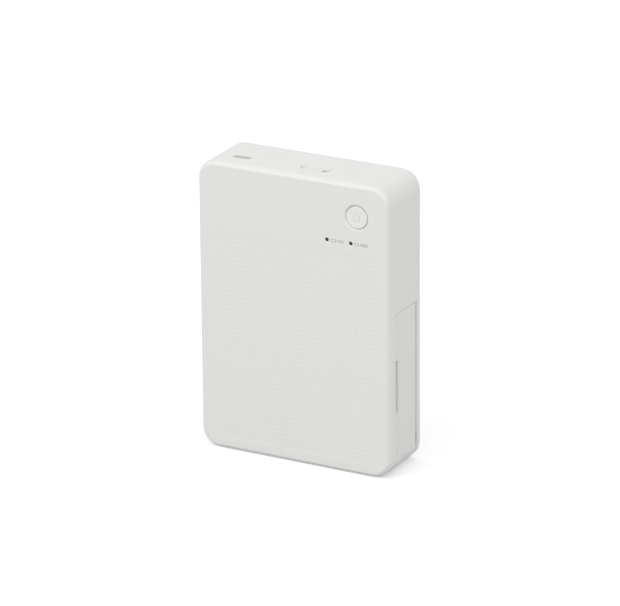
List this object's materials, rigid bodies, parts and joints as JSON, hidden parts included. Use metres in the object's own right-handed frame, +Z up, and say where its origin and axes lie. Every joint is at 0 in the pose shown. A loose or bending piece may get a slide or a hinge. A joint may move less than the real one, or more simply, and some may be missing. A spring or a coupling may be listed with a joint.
{
  "type": "photo printer",
  "caption": "Compact upright photo printer: rounded casing with a round power button, a hinged side cover over a sliding ink-and-sheet cassette, and a geared print engine inside.",
  "frame": {"origin": "centre of the bounding box at the base that the printer stands on", "axes": "+Z up along the long side, the front face with the power button faces -Y, +X to the side with the cassette cover"},
  "size_m": [0.1022, 0.033, 0.1458],
  "materials": {
    "casing_plastic": "fine moulded grain",
    "button_plastic": "satin moulded",
    "window_plastic": "smoked clear moulding",
    "foot_rubber": "matte moulded rubber",
    "screw_steel": "zinc-plated",
    "sheet_steel": "galvanised sheet",
    "shaft_steel": "ground",
    "motor_steel": "drawn can",
    "gear_brass": "machined",
    "gear_plastic": "natural acetal",
    "black_plastic": "moulded",
    "sink_aluminium": "extruded",
    "head_ceramic": "glazed bar",
    "cassette_plastic": "moulded",
    "film": "thin film",
    "sheet_paper": "coated sheet",
    "board_laminate": "solder resist",
    "cable_plastic": "flat cable",
    "battery_wrap": "shrink wrap"
  },
  "bodies": {
    "casing": {"front_shell": "casing_plastic", "rear_cover": "casing_plastic", "hinge_pins": "screw_steel", "cover_catches": "black_plastic", "cover_switch": "black_plastic", "status_light_guides": "window_plastic", "strap_pin": "screw_steel", "rear_feet": "foot_rubber", "case_screws": "screw_steel", "engine_frame": "sheet_steel", "engine_screws": "screw_steel", "motor_bracket": "sheet_steel", "drive_motor": "motor_steel", "idler_axles": "shaft_steel", "grip_bushes": "gear_brass", "platen_bushes": "gear_brass", "paper_sensor": "black_plastic", "head_pivot_shaft": "shaft_steel", "head_springs": "shaft_steel", "main_board": "board_laminate", "processor": "black_plastic", "memory_chip": "black_plastic", "radio_shield": "sheet_steel", "board_connectors": "gear_plastic", "power_switch": "black_plastic", "status_leds": "head_ceramic", "charging_socket": "sheet_steel", "head_cable": "cable_plastic", "battery_pack": "battery_wrap", "battery_lead": "cable_plastic", "board_screws": "screw_steel"},
    "cassette_cover": {"cassette_cover": "casing_plastic"},
    "cassette": {"cassette_case": "cassette_plastic", "cassette_lid": "cassette_plastic", "guide_bars": "shaft_steel", "film_web": "film", "paper_stack": "sheet_paper"},
    "supply_spool": {"supply_spool": "gear_plastic", "supply_film_roll": "film"},
    "take_up_spool": {"take_up_spool": "gear_plastic", "take_up_film_roll": "film"},
    "head": {"head_arm": "sheet_steel", "head_heat_sink": "sink_aluminium", "thermal_head": "head_ceramic"},
    "power_button": {"power_button": "button_plastic"},
    "switch_plunger": {"switch_plunger": "gear_plastic"},
    "grip_roller": {"grip_roller": "shaft_steel"},
    "pinch_roller": {"pinch_roller": "shaft_steel"},
    "platen_roller": {"platen_roller": "foot_rubber"},
    "pickup": {"pickup_roller": "foot_rubber", "pickup_shaft": "shaft_steel"},
    "first_idler_gear": {"first_idler_gear": "gear_plastic"},
    "second_idler_gear": {"second_idler_gear": "gear_plastic"},
    "take_up_drive": {"take_up_drive": "gear_plastic"},
    "motor_pinion": {"motor_pinion": "gear_brass"}
  },
  "joints": [
    {"name": "cover_hinge", "type": "hinge", "parent": "casing", "child": "cassette_cover", "pos_m": [0.0485, 0.0093, 0.042], "axis": [0, 0, 1], "range_deg": [0, 90]},
    {"name": "cassette_slide", "type": "slide", "parent": "casing", "child": "cassette", "axis": [1, 0, 0], "range_m": [0, 0.006]},
    {"name": "head_pivot", "type": "hinge", "parent": "casing", "child": "head", "pos_m": [-0.005, -0.01175, 0.042], "axis": [0, 0, -1], "range_deg": [0, 6], "stiffness_Nm_per_rad": 0.02},
    {"name": "button_press", "type": "slide", "parent": "casing", "child": "power_button", "axis": [0, 1, 0], "range_m": [0, 0.0006], "stiffness_N_per_m": 300},
    {"name": "plunger_press", "type": "slide", "parent": "casing", "child": "switch_plunger", "axis": [0, 1, 0], "range_m": [0, 0.0006]},
    {"name": "grip_spin", "type": "hinge", "parent": "casing", "child": "grip_roller", "pos_m": [-0.0423, 0.00725, 0.042], "axis": [0, 0, 1], "continuous": true},
    {"name": "pinch_spin", "type": "hinge", "parent": "casing", "child": "pinch_roller", "pos_m": [-0.0423, 0.00295, 0.042], "axis": [0, 0, 1], "continuous": true},
    {"name": "platen_spin", "type": "hinge", "parent": "casing", "child": "platen_roller", "pos_m": [-0.0295, 0.00825, 0.042], "axis": [0, 0, 1], "continuous": true},
    {"name": "pickup_spin", "type": "hinge", "parent": "casing", "child": "pickup", "pos_m": [-0.006, 0.0096, 0.042], "axis": [0, 0, 1], "continuous": true},
    {"name": "first_idler_spin", "type": "hinge", "parent": "casing", "child": "first_idler_gear", "pos_m": [-0.03562, -0.00019, 0.042], "axis": [0, 0, 1], "continuous": true},
    {"name": "second_idler_spin", "type": "hinge", "parent": "casing", "child": "second_idler_gear", "pos_m": [-0.01391, 0.00058, 0.042], "axis": [0, 0, 1], "continuous": true},
    {"name": "take_up_drive_spin", "type": "hinge", "parent": "casing", "child": "take_up_drive", "pos_m": [-0.0265, -0.0043, 0.042], "axis": [0, 0, 1], "continuous": true},
    {"name": "motor_spin", "type": "hinge", "parent": "casing", "child": "motor_pinion", "pos_m": [-0.04044, -0.00593, 0.042], "axis": [0, 0, 1], "continuous": true},
    {"name": "take_up_spin", "type": "hinge", "parent": "cassette", "child": "take_up_spool", "pos_m": [-0.0175, -0.0043, 0.042], "axis": [0, 0, 1], "continuous": true},
    {"name": "supply_spin", "type": "hinge", "parent": "cassette", "child": "supply_spool", "pos_m": [-0.0432, -0.0043, 0.042], "axis": [0, 0, 1], "continuous": true}
  ],
  "couplings": [
    {"joint": "cover_hinge", "follows": "cassette_slide", "rad_per_m": 261.8},
    {"joint": "plunger_press", "follows": "button_press", "ratio": 1},
    {"joint": "pinch_spin", "follows": "grip_spin", "ratio": -1.1111},
    {"joint": "platen_spin", "follows": "grip_spin", "ratio": 0.66667},
    {"joint": "pickup_spin", "follows": "grip_spin", "ratio": 1.4286},
    {"joint": "first_idler_spin", "follows": "grip_spin", "ratio": -1},
    {"joint": "second_idler_spin", "follows": "grip_spin", "ratio": -0.58824},
    {"joint": "take_up_drive_spin", "follows": "grip_spin", "ratio": 1},
    {"joint": "motor_spin", "follows": "grip_spin", "ratio": 2},
    {"joint": "take_up_spin", "follows": "grip_spin", "ratio": -1.25},
    {"joint": "supply_spin", "follows": "grip_spin", "ratio": -0.84559}
  ]
}
